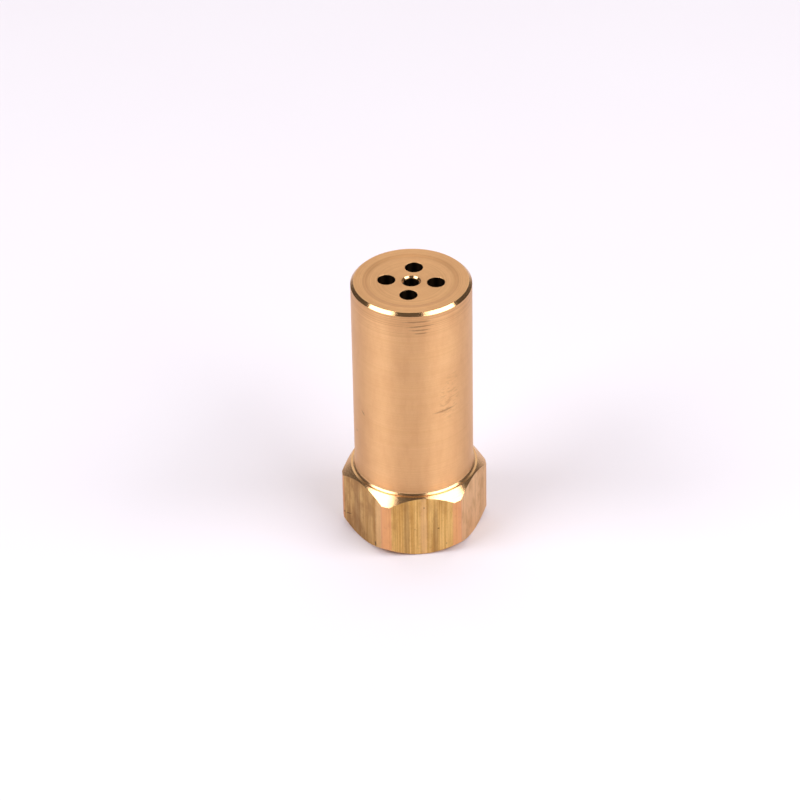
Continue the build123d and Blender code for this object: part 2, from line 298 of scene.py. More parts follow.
# %% Body outline
body_low, body_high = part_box("nozzle_body")
HEIGHT = body_high[2]
ACROSS_FLATS = body_high[1] - body_low[1]
CORNER_RADIUS = (body_high[0] - body_low[0]) / 2
BARREL_RADIUS = 11.0 * MM
HEXAGON_HEIGHT = 13.0 * MM
ROOT_FILLET = 0.75 * MM
BASE_RADIUS = 11.8 * MM
TIP_BEVEL = 0.55 * MM
TIP_RIM_RADIUS = 8.7 * MM
TIP_DISH_RADIUS = 7.9 * MM
TIP_FACE = HEIGHT - 0.12 * MM
SINK_RADIUS = 1.8 * MM
CENTRE_PORT_RADIUS = 1.3 * MM
CHAMBER_TOP = HEIGHT - 4.0 * MM
CHAMBER_RADIUS = 6.3 * MM
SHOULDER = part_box("air_swirler")[1][2]
BORE_RADIUS = 7.0 * MM
CLIP_LOW, CLIP_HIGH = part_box("retaining_circlip")
GROOVE_RADIUS = 7.3 * MM
GROOVE_SLACK = 0.05 * MM
RELIEF_TOP = 12.6 * MM
RELIEF_BOTTOM = 11.0 * MM
RELIEF_RADIUS = 8.6 * MM
PIPE_MINOR = 7.475 * MM
PIPE_MAJOR = 8.33 * MM
PIPE_PITCH = 1.337 * MM
PIPE_MOUTH = 8.47 * MM
BODY_COLUMNS = 288
EDGE_BREAK = 0.06 * MM
LEDGE = BARREL_RADIUS + ROOT_FILLET

body_corners = [
    (BASE_RADIUS, 0.0, EDGE_BREAK),
    (CORNER_RADIUS, CORNER_RADIUS - BASE_RADIUS, EDGE_BREAK),
    (CORNER_RADIUS, HEXAGON_HEIGHT - (CORNER_RADIUS - LEDGE), EDGE_BREAK),
    (LEDGE, HEXAGON_HEIGHT, 0.0),
    (BARREL_RADIUS, HEXAGON_HEIGHT, ROOT_FILLET),
    (BARREL_RADIUS, HEIGHT - TIP_BEVEL, EDGE_BREAK),
    (BARREL_RADIUS - TIP_BEVEL, HEIGHT, EDGE_BREAK),
    (TIP_RIM_RADIUS, HEIGHT, EDGE_BREAK),
    (TIP_DISH_RADIUS, TIP_FACE, EDGE_BREAK),
    (SINK_RADIUS, TIP_FACE, EDGE_BREAK / 2),
    (CENTRE_PORT_RADIUS, TIP_FACE - (SINK_RADIUS - CENTRE_PORT_RADIUS), EDGE_BREAK / 2),
    (CENTRE_PORT_RADIUS, CHAMBER_TOP, EDGE_BREAK / 2),
    (CHAMBER_RADIUS, CHAMBER_TOP, 4 * EDGE_BREAK),
    (CHAMBER_RADIUS, SHOULDER, EDGE_BREAK),
    (BORE_RADIUS, SHOULDER, EDGE_BREAK),
    (BORE_RADIUS, CLIP_HIGH[2] + GROOVE_SLACK, EDGE_BREAK),
    (GROOVE_RADIUS, CLIP_HIGH[2] + GROOVE_SLACK, EDGE_BREAK),
    (GROOVE_RADIUS, CLIP_LOW[2] - GROOVE_SLACK, EDGE_BREAK),
    (BORE_RADIUS, CLIP_LOW[2] - GROOVE_SLACK, EDGE_BREAK),
    (BORE_RADIUS, RELIEF_TOP, EDGE_BREAK),
    (RELIEF_RADIUS, RELIEF_TOP, 3 * EDGE_BREAK),
    (RELIEF_RADIUS, RELIEF_BOTTOM, 3 * EDGE_BREAK),
    (PIPE_MINOR, RELIEF_BOTTOM, EDGE_BREAK),
    (PIPE_MINOR, PIPE_MOUTH - PIPE_MINOR, EDGE_BREAK),
    (PIPE_MOUTH, 0.0, EDGE_BREAK),
]
body_outline = rounded_outline(body_corners)
print("outline points:", len(body_outline))

# %% Cut the body
PORT_RADIUS = 1.6 * MM
PORT_CIRCLE = 4.5 * MM
PORT_CLOCKING = math.radians(-12.9)
PORT_EDGE = 0.10 * MM


def make_port(index):
    """A drill for one spray port: a rod with a flared neck where it leaves the end face."""
    angle = PORT_CLOCKING + index * math.pi / 2
    flare = np.array(
        [
            (0.0, CHAMBER_TOP - MM),
            (PORT_RADIUS, CHAMBER_TOP - MM),
            (PORT_RADIUS, TIP_FACE - PORT_EDGE),
            (PORT_RADIUS + 0.4 * PORT_EDGE, TIP_FACE - 0.4 * PORT_EDGE),
            (PORT_RADIUS + PORT_EDGE, TIP_FACE),
            (PORT_RADIUS + PORT_EDGE, HEIGHT + MM),
            (0.0, HEIGHT + MM),
        ]
    )
    return lathe(f"drill_{index}", flare, 64,
                 (PORT_CIRCLE * math.cos(angle), PORT_CIRCLE * math.sin(angle)))


nozzle = lathe("body_shell", body_outline, BODY_COLUMNS)
carve(nozzle, hexagon_prism("hexagon_bar", ACROSS_FLATS, -MM, HEIGHT + MM), "INTERSECT")
for port_index in range(4):
    carve(nozzle, make_port(port_index))
PIPE_FLANK = 27.5
TAP_OVERRUN = 0.8 * MM
pipe_tap = thread_tool(
    "pipe_tap", PIPE_MINOR, PIPE_MAJOR, PIPE_PITCH, -PIPE_PITCH, RELIEF_BOTTOM + TAP_OVERRUN, PIPE_FLANK,
    BODY_COLUMNS // 2
)
carve(nozzle, pipe_tap)
merge_close(nozzle)
smooth(nozzle)
print("body faces:", len(nozzle.data.polygons))

# %% [markdown]
# Every finish is worked out from the place of the point on the piece, in millimetres. Small
# helpers keep the node trees readable: one adds a node, one does arithmetic on sockets or
# plain numbers, and one turns a range of a value into a soft step from 0 to 1.

# %% Node helpers


def feed(tree, socket, value):
    """Links a socket to the input, or sets the input to a plain number, vector or colour."""
    if isinstance(value, bpy.types.NodeSocket):
        tree.links.new(value, socket)
    else:
        socket.default_value = value


def add(tree, kind, inputs=(), **settings):
    """A new node with its settings and its inputs by name or number."""
    node = tree.nodes.new(kind)
    for key, value in settings.items():
        setattr(node, key, value)
    for key, value in dict(inputs).items():
        feed(tree, node.inputs[key], value)
    return node


def calc(tree, operation, *values):
    """One Math node, as the socket that holds its result."""
    return add(tree, "ShaderNodeMath", dict(enumerate(values)), operation=operation).outputs[0]


def ramp(tree, value, low, high):
    """0 below low, 1 above high and a smooth step between. With low above high it falls."""
    inputs = {"Value": value, "From Min": low, "From Max": high}
    return add(tree, "ShaderNodeMapRange", inputs, interpolation_type="SMOOTHSTEP").outputs[0]


def tint(tree, share, first, second, blend="MIX"):
    """The first colour where the share is 0 and the second where it is 1."""
    node = add(tree, "ShaderNodeMix", data_type="RGBA", blend_type=blend)
    feed(tree, node.inputs[0], share)
    feed(tree, node.inputs[6], first)
    feed(tree, node.inputs[7], second)
    return node.outputs[2]


def noise(tree, vector, scale, detail=2.0, roughness=0.5):
    """A noise value from 0 to 1 at a vector, scale being features for each unit."""
    inputs = {"Vector": vector, "Scale": scale, "Detail": detail, "Roughness": roughness}
    return add(tree, "ShaderNodeTexNoise", inputs).outputs["Fac"]


def stretched(tree, vector, along):
    """The vector with each axis scaled by its own factor."""
    return add(tree, "ShaderNodeVectorMath", {0: vector, 1: along}, operation="MULTIPLY").outputs[0]


def rgb(red, green, blue):
    """A colour given as it looks on a screen, from 0 to 255, in the linear values that shaders take."""
    screen = np.array([red, green, blue]) / 255.0
    linear = np.where(screen <= 0.04045, screen / 12.92, ((screen + 0.055) / 1.055) ** 2.4)
    return (*linear.tolist(), 1.0)


def new_group(name, inputs, outputs):
    """An empty shader node group. A socket is named by its key, and its kind follows from its default."""
    tree = bpy.data.node_groups.new(name, "ShaderNodeTree")
    for key, default in inputs.items():
        kind = "NodeSocketVector" if isinstance(default, tuple) else "NodeSocketFloat"
        tree.interface.new_socket(name=key, in_out="INPUT", socket_type=kind).default_value = default
    for key in outputs:
        tree.interface.new_socket(name=key, in_out="OUTPUT", socket_type="NodeSocketFloat")
    return tree, tree.nodes.new("NodeGroupInput").outputs, tree.nodes.new("NodeGroupOutput").inputs


def use(tree, group, **inputs):
    """A group placed in a tree, with its inputs set; spaces in their names are underscores here."""
    node = tree.nodes.new("ShaderNodeGroup")
    node.node_tree = group
    for key, value in inputs.items():
        feed(tree, node.inputs[key.replace("_", " ")], value)
    return node.outputs


print("node helpers ready")

# %% [markdown]
# Four effects are shared by several metals, so each is a node group. *Place* gives a point's
# place in millimetres, its radius and its angle. *Tool marks* are the fine rings that a
# turning tool leaves: noise that changes fast along the feed and slowly around. *Stain* is
# the blotchy tarnish of handled brass. *Smear* is one soft-edged mark at a chosen spot.

# %% Shared effects


def make_place_group():
    """Object coordinates in mm, with radius = length of (x, y) and angle = atan2(y, x) in degrees."""
    tree = bpy.data.node_groups.new("place", "ShaderNodeTree")
    for key, kind in (("Point", "NodeSocketVector"), ("Radius", "NodeSocketFloat"),
                      ("Angle", "NodeSocketFloat"),
                      ("Height", "NodeSocketFloat"), ("Feed", "NodeSocketFloat")):
        tree.interface.new_socket(name=key, in_out="OUTPUT", socket_type=kind)
    outputs = tree.nodes.new("NodeGroupOutput").inputs
    coordinates = add(tree, "ShaderNodeTexCoord").outputs["Object"]
    point = add(tree, "ShaderNodeVectorMath", {0: coordinates, "Scale": 1 / MM},
                operation="SCALE").outputs[0]
    axes = add(tree, "ShaderNodeSeparateXYZ", {0: point}).outputs
    squares = calc(tree, "ADD", calc(tree, "MULTIPLY", axes[0], axes[0]),
                   calc(tree, "MULTIPLY", axes[1], axes[1]))
    radius = calc(tree, "SQRT", squares)
    tree.links.new(point, outputs["Point"])
    tree.links.new(radius, outputs["Radius"])
    tree.links.new(calc(tree, "DEGREES", calc(tree, "ARCTAN2", axes[1], axes[0])), outputs["Angle"])
    tree.links.new(axes[2], outputs["Height"])
    tree.links.new(calc(tree, "SUBTRACT", axes[2], radius), outputs["Feed"])
    return tree


def make_tool_marks_group():
    """Rings: noise on (x, y) slowed right down and on the feed divided by the pitch, at two sizes."""
    inputs = {"Point": (0.0, 0.0, 0.0), "Feed": 0.0, "Pitch": 0.12}
    tree, given, result = new_group("tool_marks", inputs, ("Height", "Tone"))
    slow = add(tree, "ShaderNodeSeparateXYZ",
               {0: stretched(tree, given["Point"], (0.035, 0.035, 0.0))}).outputs
    fast = calc(tree, "DIVIDE", given["Feed"], given["Pitch"])
    fine = add(tree, "ShaderNodeCombineXYZ", {"X": slow[0], "Y": slow[1], "Z": fast}).outputs[0]
    broad = add(tree, "ShaderNodeCombineXYZ",
                {"X": slow[0], "Y": slow[1], "Z": calc(tree, "MULTIPLY", fast, 0.11)})
    tree.links.new(noise(tree, fine, 1.0, 3.0, 0.65), result["Height"])
    mixed = calc(tree, "ADD", calc(tree, "MULTIPLY", noise(tree, fine, 1.0, 2.0), 0.75),
                 calc(tree, "MULTIPLY", noise(tree, broad.outputs[0], 1.0, 3.0), 0.25))
    tree.links.new(ramp(tree, mixed, 0.32, 0.68), result["Tone"])
    return tree


def make_stain_group():
    """Blotches: two layers of noise, and only their peaks above the cover are kept."""
    inputs = {"Point": (0.0, 0.0, 0.0), "Size": 3.0, "Cover": 0.5}
    tree, given, result = new_group("stain", inputs, ("Mask",))
    scale = calc(tree, "DIVIDE", 1.0, given["Size"])
    cloud = add(tree, "ShaderNodeTexNoise",
                {"Vector": given["Point"], "Scale": scale, "Detail": 6.0, "Roughness": 0.6})
    edge = calc(tree, "SUBTRACT", 1.0, given["Cover"])
    inputs = {"Value": cloud.outputs["Fac"], "From Min": calc(tree, "SUBTRACT", edge, 0.12),
              "From Max": calc(tree, "ADD", edge, 0.12)}
    tree.links.new(add(tree, "ShaderNodeMapRange", inputs,
                       interpolation_type="SMOOTHSTEP").outputs[0], result["Mask"])
    return tree


def make_smear_group():
    """One mark on a round wall: 1 in its middle, falling to 0 at its half width and half length.

    The place is turned by the tilt about the mark's middle, and noise frays the edge.
    """
    inputs = {"Point": (0.0, 0.0, 0.0), "Angle": 0.0, "Height": 0.0, "Wall Radius": 11.0, "At Angle": 0.0,
              "At Height": 0.0, "Half Width": 1.0, "Half Height": 0.2, "Tilt": 0.0, "Fray": 0.5}
    tree, given, result = new_group("smear", inputs, ("Mask",))
    across = calc(tree, "MULTIPLY",
                  calc(tree, "RADIANS", calc(tree, "SUBTRACT", given["Angle"], given["At Angle"])),
                  given["Wall Radius"])
    up = calc(tree, "SUBTRACT", given["Height"], given["At Height"])
    turn = calc(tree, "RADIANS", given["Tilt"])
    cosine, sine = calc(tree, "COSINE", turn), calc(tree, "SINE", turn)
    along = calc(tree, "ADD", calc(tree, "MULTIPLY", across, cosine), calc(tree, "MULTIPLY", up, sine))
    beside = calc(tree, "SUBTRACT", calc(tree, "MULTIPLY", up, cosine),
                  calc(tree, "MULTIPLY", across, sine))
    first = calc(tree, "POWER",
                 calc(tree, "ABSOLUTE", calc(tree, "DIVIDE", along, given["Half Width"])), 2.0)
    second = calc(tree, "POWER",
                  calc(tree, "ABSOLUTE", calc(tree, "DIVIDE", beside, given["Half Height"])), 2.0)
    distance = calc(tree, "SQRT", calc(tree, "ADD", first, second))
    fray = calc(tree, "MULTIPLY", calc(tree, "SUBTRACT", noise(tree, given["Point"], 2.2, 4.0), 0.5),
                given["Fray"])
    tree.links.new(ramp(tree, calc(tree, "ADD", distance, fray), 1.0, 0.35), result["Mask"])
    return tree


PLACE = make_place_group()
TOOL_MARKS = make_tool_marks_group()
STAIN = make_stain_group()
SMEAR = make_smear_group()
print("node groups:", sorted(group.name for group in bpy.data.node_groups))


def new_material(name, **constants):
    """A material with one Principled shader whose fixed values are set on its own sockets."""
    material = bpy.data.materials.new(name)
    material.use_nodes = True
    tree = material.node_tree
    shader = tree.nodes["Principled BSDF"]
    for key, value in constants.items():
        shader.inputs[key.replace("_", " ")].default_value = value
    return material, tree, shader.inputs


def lay_round_axis(tree, shader):
    """The shader's tangent laid round the Z axis, as marks from a lathe lie."""
    tangent = add(tree, "ShaderNodeTangent", direction_type="RADIAL", axis="Z")
    feed(tree, shader["Tangent"], tangent.outputs[0])


def dress(piece, material):
    """The material on every slot of the piece, so that a frame node and a new piece are treated alike."""
    if not piece.data.materials:
        piece.data.materials.append(material)
    for slot in piece.material_slots:
        slot.material = material
    return piece


# %% [markdown]
# The body's brass changes with the way each face was made. The barrel and the end face are
# turned: their marks run round, so the light spreads along the barrel and the bright bands
# stand upright. The bevel and the chamfers were cut last with a sharp tool and are almost
# mirrors. The flats of the hexagon are as drawn: their streaks run up and down, they are
# yellower, and they are stained by handling. Three materials on one mesh keep apart how far
# and which way the light spreads: along the barrel, evenly on the end, across the flats.

# %% Turned brass of the body
UP_THE_BARREL = 0.25
TOP_OF_BARREL = HEIGHT / MM
BARREL_MM = BARREL_RADIUS / MM
FACE_MM = TIP_FACE / MM
BEVEL_MM = 0.55
SINK_MM = SINK_RADIUS / MM
BETWEEN_PORTS_MM = 2.3
OUTSIDE_PORTS_MM = 7.25
CHAMFER_TOP_MM = 14.0
TURNED_ROUGHNESS = 0.36
BRIGHT_ROUGHNESS = 0.19
CHAMFER_ROUGHNESS = 0.27

# Each mark is its angle and height on the barrel, its half width, half height and tilt.
BARREL_MARKS = (
    (-90.5, 51.3, 3.4, 0.26, 0.0),
    (-88.0, 50.3, 3.0, 0.24, 2.0),
    (-88.5, 49.5, 2.4, 0.24, 0.0),
    (-88.0, 48.8, 1.7, 0.22, 0.0),
    (-64.5, 30.9, 2.9, 0.30, 2.0),
    (-152.6, 28.3, 0.75, 0.26, -35.0),
    (-167.0, 22.7, 0.34, 0.30, 0.0),
)
SCUFF_PATCH = (-59.0, 33.4, 3.0, 7.0, -8.0)


def marks(tree, place, wall_radius, spots):
    """The strongest of several smears at each point, so that they can share one colour."""
    most = 0.0
    for at_angle, at_height, half_width, half_height, tilt in spots:
        mask = use(tree, SMEAR, Point=place["Point"], Angle=place["Angle"], Height=place["Height"],
                   Wall_Radius=wall_radius, At_Angle=at_angle, At_Height=at_height,
                   Half_Width=half_width, Half_Height=half_height, Tilt=tilt)["Mask"]
        most = calc(tree, "MAXIMUM", most, mask)
    return most


def share_of(tree, mask, share):
    """A mask made weaker by a fixed share."""
    return calc(tree, "MULTIPLY", mask, share)


def make_turned_brass(name, spread):
    """Rings of tool marks on pale brass, with mirror-bright chamfers, a band of painted shade on the end
    face's dish, and drilled holes painted nearly black as painted shade.
    """
    material, tree, shader = new_material(name, Metallic=1.0, Anisotropic=spread,
                                          Anisotropic_Rotation=UP_THE_BARREL)
    place = use(tree, PLACE)
    point, radius, height = place["Point"], place["Radius"], place["Height"]
    rings = use(tree, TOOL_MARKS, Point=point, Feed=place["Feed"], Pitch=0.085)

    on_hexagon = calc(tree, "MULTIPLY", ramp(tree, radius, BARREL_MM + 0.03, BARREL_MM + 0.08),
                      ramp(tree, height, CHAMFER_TOP_MM + 1.0, CHAMFER_TOP_MM))
    on_bevel = calc(tree, "MULTIPLY", ramp(tree, radius, BARREL_MM - BEVEL_MM - 0.04, BARREL_MM - BEVEL_MM),
                    ramp(tree, height, TOP_OF_BARREL - BEVEL_MM - 0.05, TOP_OF_BARREL - BEVEL_MM - 0.01))
    on_sink = calc(tree, "MULTIPLY", ramp(tree, radius, SINK_MM + 0.06, SINK_MM),
                   ramp(tree, height, FACE_MM - 0.04, FACE_MM - 0.08))
    bright_cut = calc(tree, "MAXIMUM", calc(tree, "MAXIMUM", on_hexagon, on_bevel), on_sink)
    mottle = noise(tree, stretched(tree, point, (0.7, 0.7, 0.22)), 1.0, 5.0, 0.65)
    grain = noise(tree, stretched(tree, point, (5.0, 5.0, 7.0)), 1.0, 3.0, 0.7)
    cloud = use(tree, STAIN, Point=point, Size=7.0, Cover=0.42)["Mask"]
    lined = calc(tree, "MULTIPLY", ramp(tree, height, 46.5, 51.5), ramp(tree, rings["Tone"], 0.75, 0.15))
    lined = calc(tree, "MULTIPLY", lined, ramp(tree, radius, BARREL_MM - 0.6, BARREL_MM - 0.5))
    # Painted shade: the shallow slope between the rim and the dish of the end face is tinted darker,
    # deepening the shade that its tilt already gives.
    dish_shade = calc(tree, "MULTIPLY", ramp(tree, radius, 7.7, 8.1), ramp(tree, radius, 9.0, 8.5))
    dish_shade = calc(tree, "MULTIPLY", dish_shade, ramp(tree, height, FACE_MM - 0.1, FACE_MM - 0.02))
    patch = marks(tree, place, BARREL_MM, (SCUFF_PATCH,))
    scuffs = noise(tree, stretched(tree, point, (0.8, 0.8, 2.6)), 1.0, 2.0, 0.6)
    patch = calc(tree, "MULTIPLY", patch, ramp(tree, scuffs, 0.50, 0.60))

    colour = tint(tree, rings["Tone"], rgb(233, 182, 126), rgb(241, 192, 138))
    colour = tint(tree, share_of(tree, ramp(tree, mottle, 0.35, 0.75), 0.30), colour, rgb(216, 158, 108))
    colour = tint(tree, share_of(tree, ramp(tree, grain, 0.45, 0.75), 0.16), colour, rgb(196, 138, 90))
    colour = tint(tree, share_of(tree, cloud, 0.20), colour, rgb(212, 156, 108))
    on_end = calc(tree, "MULTIPLY", ramp(tree, height, FACE_MM - 0.05, FACE_MM - 0.01),
                  ramp(tree, radius, BARREL_MM - BEVEL_MM - 0.03, BARREL_MM - BEVEL_MM - 0.09))
    colour = tint(tree, share_of(tree, on_end, 0.40), colour, rgb(226, 166, 112))
    turned_rings = calc(tree, "MULTIPLY", on_end, ramp(tree, rings["Tone"], 0.60, 0.20))
    colour = tint(tree, share_of(tree, turned_rings, 0.25), colour, rgb(180, 122, 76))
    colour = tint(tree, share_of(tree, lined, 0.40), colour, rgb(178, 120, 76))
    # Painted shade on the dish slope of the end face.
    colour = tint(tree, share_of(tree, dish_shade, 0.32), colour, rgb(186, 128, 82))
    colour = tint(tree, share_of(tree, patch, 0.20), colour, rgb(140, 94, 56))
    colour = tint(tree, share_of(tree, marks(tree, place, BARREL_MM, BARREL_MARKS), 0.44), colour,
                  rgb(110, 68, 38))

    # Painted shade: the walls of the spray ports and of the centre countersink are tinted nearly black for
    # the shade that fills the deep holes, fading out between 46 and 40.5 mm high, and are made a little
    # rougher.
    port_shade = calc(tree, "MULTIPLY", ramp(tree, height, FACE_MM - 0.02, FACE_MM - 0.09),
                    ramp(tree, radius, BETWEEN_PORTS_MM - 0.1, BETWEEN_PORTS_MM + 0.1))
    sink_shade = calc(tree, "MULTIPLY", ramp(tree, height, FACE_MM - 0.22, FACE_MM - 0.42),
                   ramp(tree, radius, BETWEEN_PORTS_MM + 0.1, BETWEEN_PORTS_MM - 0.1))
    hole_shade = calc(tree, "MULTIPLY", calc(tree, "ADD", port_shade, sink_shade),
                  ramp(tree, radius, OUTSIDE_PORTS_MM + 0.15, OUTSIDE_PORTS_MM - 0.15))
    hole_shade = calc(tree, "MULTIPLY", hole_shade, ramp(tree, height, 40.5, 46.0))
    # Painted shade inside the holes, almost black.
    colour = tint(tree, share_of(tree, hole_shade, 0.99), colour, rgb(12, 6, 4))
    feed(tree, shader["Base Color"], colour)

    rough = calc(tree, "ADD", TURNED_ROUGHNESS, calc(tree, "MULTIPLY", rings["Tone"], 0.08))
    rough = add(tree, "ShaderNodeMix", {0: bright_cut, 2: rough, 3: BRIGHT_ROUGHNESS}).outputs[0]
    rough = add(tree, "ShaderNodeMix", {0: on_hexagon, 2: rough, 3: CHAMFER_ROUGHNESS}).outputs[0]
    feed(tree, shader["Roughness"], calc(tree, "ADD", rough, share_of(tree, hole_shade, 0.25)))
    depth = add(tree, "ShaderNodeMix", {0: bright_cut, 2: 1.0, 3: 0.3}).outputs[0]
    lift = calc(tree, "MULTIPLY", rings["Height"], depth)
    bump = add(tree, "ShaderNodeBump", {"Strength": 0.22, "Distance": 0.012 * MM, "Height": lift})
    feed(tree, shader["Normal"], bump.outputs[0])
    lay_round_axis(tree, shader)
    return material


turned_brass = make_turned_brass("turned_brass", 0.85)
faced_brass = make_turned_brass("faced_brass", 0.35)
print("turned brass nodes:", len(turned_brass.node_tree.nodes))

# %% Drawn brass of the hexagon
FLAT_MM = ACROSS_FLATS / 2 / MM
CORNER_MM = CORNER_RADIUS / MM

# Pits and nicks on the flats: angle, height, half width, half height and tilt.
HEXAGON_MARKS = (
    (-75.8, 5.8, 0.26, 0.20, 0.0),
    (-88.1, 10.7, 0.17, 0.17, 0.0),
    (-69.4, 2.2, 0.15, 0.15, 0.0),
    (-96.4, 5.9, 0.12, 0.12, 0.0),
    (-132.0, 1.5, 0.30, 0.75, 0.0),
    (-170.0, 3.6, 1.10, 0.14, 25.0),
    (-176.0, 3.2, 0.50, 0.12, 40.0),
    (38.0, 9.0, 0.25, 0.20, 0.0),
    (85.0, 4.5, 0.90, 0.13, -20.0),
    (140.0, 7.5, 0.20, 0.22, 0.0),
)
# Wide dark streaks that the drawing die left: angle, height, half width, half height and tilt.
DIE_STREAKS = (
    (-103.5, 6.0, 0.75, 14.0, 0.0),
    (-78.3, 5.0, 0.70, 9.0, 0.0),
    (-158.0, 6.0, 1.30, 12.0, 0.0),
    (20.0, 6.0, 0.90, 12.0, 0.0),
    (96.0, 6.0, 1.00, 12.0, 0.0),
    (155.0, 6.0, 0.80, 12.0, 0.0),
)
# Pale streaks between them, in the same order.
PALE_STREAKS = (
    (-125.0, 6.0, 1.9, 16.0, 0.0),
    (-88.5, 6.0, 0.9, 12.0, 0.0),
    (60.0, 6.0, 1.2, 12.0, 0.0),
)


def facing(tree, angle, middle):
    """1 on the flat that faces the given angle, where the cosine of the turn from it is over cos 30."""
    turn = calc(tree, "RADIANS", calc(tree, "SUBTRACT", angle, middle))
    return ramp(tree, calc(tree, "COSINE", turn), math.cos(math.radians(30.4)),
                math.cos(math.radians(29.6)))


def make_drawn_brass():
    """Upright streaks on yellow brass, with painted shade making the front-left flat darker and browner,
    painted light making the front-right and back flats paler, orange corners and small pits.
    """
    material, tree, shader = new_material("drawn_brass", Metallic=1.0, Anisotropic=0.6)
    place = use(tree, PLACE)
    point, radius, angle = place["Point"], place["Radius"], place["Angle"]
    streaks = noise(tree, stretched(tree, point, (2.4, 2.4, 0.04)), 1.0, 4.0, 0.62)
    fine_streaks = noise(tree, stretched(tree, point, (10.0, 10.0, 0.12)), 1.0, 2.0, 0.6)
    grain = noise(tree, stretched(tree, point, (6.0, 6.0, 3.0)), 1.0, 3.0, 0.7)
    blotches = use(tree, STAIN, Point=stretched(tree, point, (1.0, 1.0, 0.45)), Size=2.6,
                   Cover=0.46)["Mask"]
    dust = use(tree, STAIN, Point=point, Size=0.6, Cover=0.33)["Mask"]
    # Painted shade and light by flat: the front-left flat, away from its front corner, is darker and
    # browner as painted shade and also carries heavier stain blotches. The front-right flat, and the back
    # flat more weakly, are paler and pinker as painted light.
    left_flat_shade_and_stain = calc(tree, "MULTIPLY", facing(tree, angle, -150.0), ramp(tree, angle, -127.0, -143.0))
    painted_light_flats = calc(tree, "MAXIMUM", facing(tree, angle, -30.0),
                   share_of(tree, facing(tree, angle, 90.0), 0.6))
    strip = ramp(tree, radius, CORNER_MM - 0.22, CORNER_MM - 0.10)

    colour = tint(tree, ramp(tree, streaks, 0.30, 0.70), rgb(194, 147, 78), rgb(238, 197, 124))
    colour = tint(tree, share_of(tree, ramp(tree, fine_streaks, 0.55, 0.75), 0.30), colour,
                  rgb(168, 122, 68))
    colour = tint(tree, share_of(tree, ramp(tree, grain, 0.48, 0.70), 0.32), colour, rgb(160, 116, 64))
    colour = tint(tree, share_of(tree, marks(tree, place, FLAT_MM, DIE_STREAKS), 0.45), colour,
                  rgb(134, 100, 64))
    # Painted light: the front-right and back flats are made paler and pinker.
    colour = tint(tree, share_of(tree, painted_light_flats, 0.50), colour, rgb(240, 190, 142))
    stain_share = calc(tree, "ADD", 0.35, calc(tree, "MULTIPLY", left_flat_shade_and_stain, 0.35))
    colour = tint(tree, calc(tree, "MULTIPLY", blotches, stain_share), colour, rgb(158, 112, 64))
    # Painted shade: the front-left flat is made darker and browner.
    colour = tint(tree, share_of(tree, left_flat_shade_and_stain, 0.30), colour, rgb(150, 108, 64))
    colour = tint(tree, share_of(tree, marks(tree, place, FLAT_MM, PALE_STREAKS), 0.42), colour,
                  rgb(246, 202, 148))
    colour = tint(tree, share_of(tree, strip, 0.70), colour, rgb(226, 160, 112))
    colour = tint(tree, share_of(tree, dust, 0.28), colour, rgb(112, 78, 46))
    colour = tint(tree, share_of(tree, marks(tree, place, FLAT_MM, HEXAGON_MARKS), 0.75), colour,
                  rgb(66, 44, 26))
    feed(tree, shader["Base Color"], colour)

    rough = calc(tree, "ADD", 0.30, calc(tree, "MULTIPLY", blotches, 0.12))
    feed(tree, shader["Roughness"], rough)
    lift = calc(tree, "ADD", streaks, calc(tree, "MULTIPLY", fine_streaks, 0.5))
    lift = calc(tree, "SUBTRACT", lift, calc(tree, "MULTIPLY", dust, 0.3))
    bump = add(tree, "ShaderNodeBump", {"Strength": 0.45, "Distance": 0.015 * MM, "Height": lift})
    feed(tree, shader["Normal"], bump.outputs[0])
    lay_round_axis(tree, shader)
    return material


def share_out_faces(piece, faced, drawn):
    """The faced material on the end face, and the drawn one where the lathe never cut.

    A face is on the end when it looks up and lies inside the bevel. It is on a flat when its
    middle is half the width across flats out, in one of three directions, and on a bar corner
    when it stands upright at the corner radius.
    """
    mesh = piece.data
    middles = np.empty(3 * len(mesh.polygons))
    normals = np.empty(3 * len(mesh.polygons))
    mesh.polygons.foreach_get("center", middles)
    mesh.polygons.foreach_get("normal", normals)
    middles = middles.reshape(-1, 3)
    lean = normals.reshape(-1, 3)[:, 2]
    out = np.hypot(middles[:, 0], middles[:, 1])
    turn = np.radians([90.0, 30.0, -30.0])
    reach = np.abs(middles[:, :2] @ np.stack([np.cos(turn), np.sin(turn)])).max(axis=1)
    near = 0.01 * MM
    on_end = (lean > 0.9) & (middles[:, 2] > TIP_FACE - near) & (out < BARREL_RADIUS - TIP_BEVEL)
    on_bar = (np.abs(lean) < 0.1) & ((reach > ACROSS_FLATS / 2 - near) | (out > CORNER_RADIUS - near))
    mesh.materials.append(faced)
    mesh.materials.append(drawn)
    mesh.polygons.foreach_set("material_index", (on_end + 2 * on_bar).astype(np.int32))
    return int(on_end.sum()), int(on_bar.sum())


dress(nozzle, turned_brass)
end_count, drawn_count = share_out_faces(nozzle, faced_brass, make_drawn_brass())
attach(nozzle, "nozzle")
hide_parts("nozzle_body")
print("end faces:", end_count, "drawn faces:", drawn_count)

# %% [markdown]
# Inside, the small turned pieces are all on the same axis, so one recipe covers them: rings of
# tool marks, a second tone where oil has stained them, and a fine dust of wear. Each metal is
# that recipe with its own two colours, pitch and roughness.

# %% Metals of the inner pieces


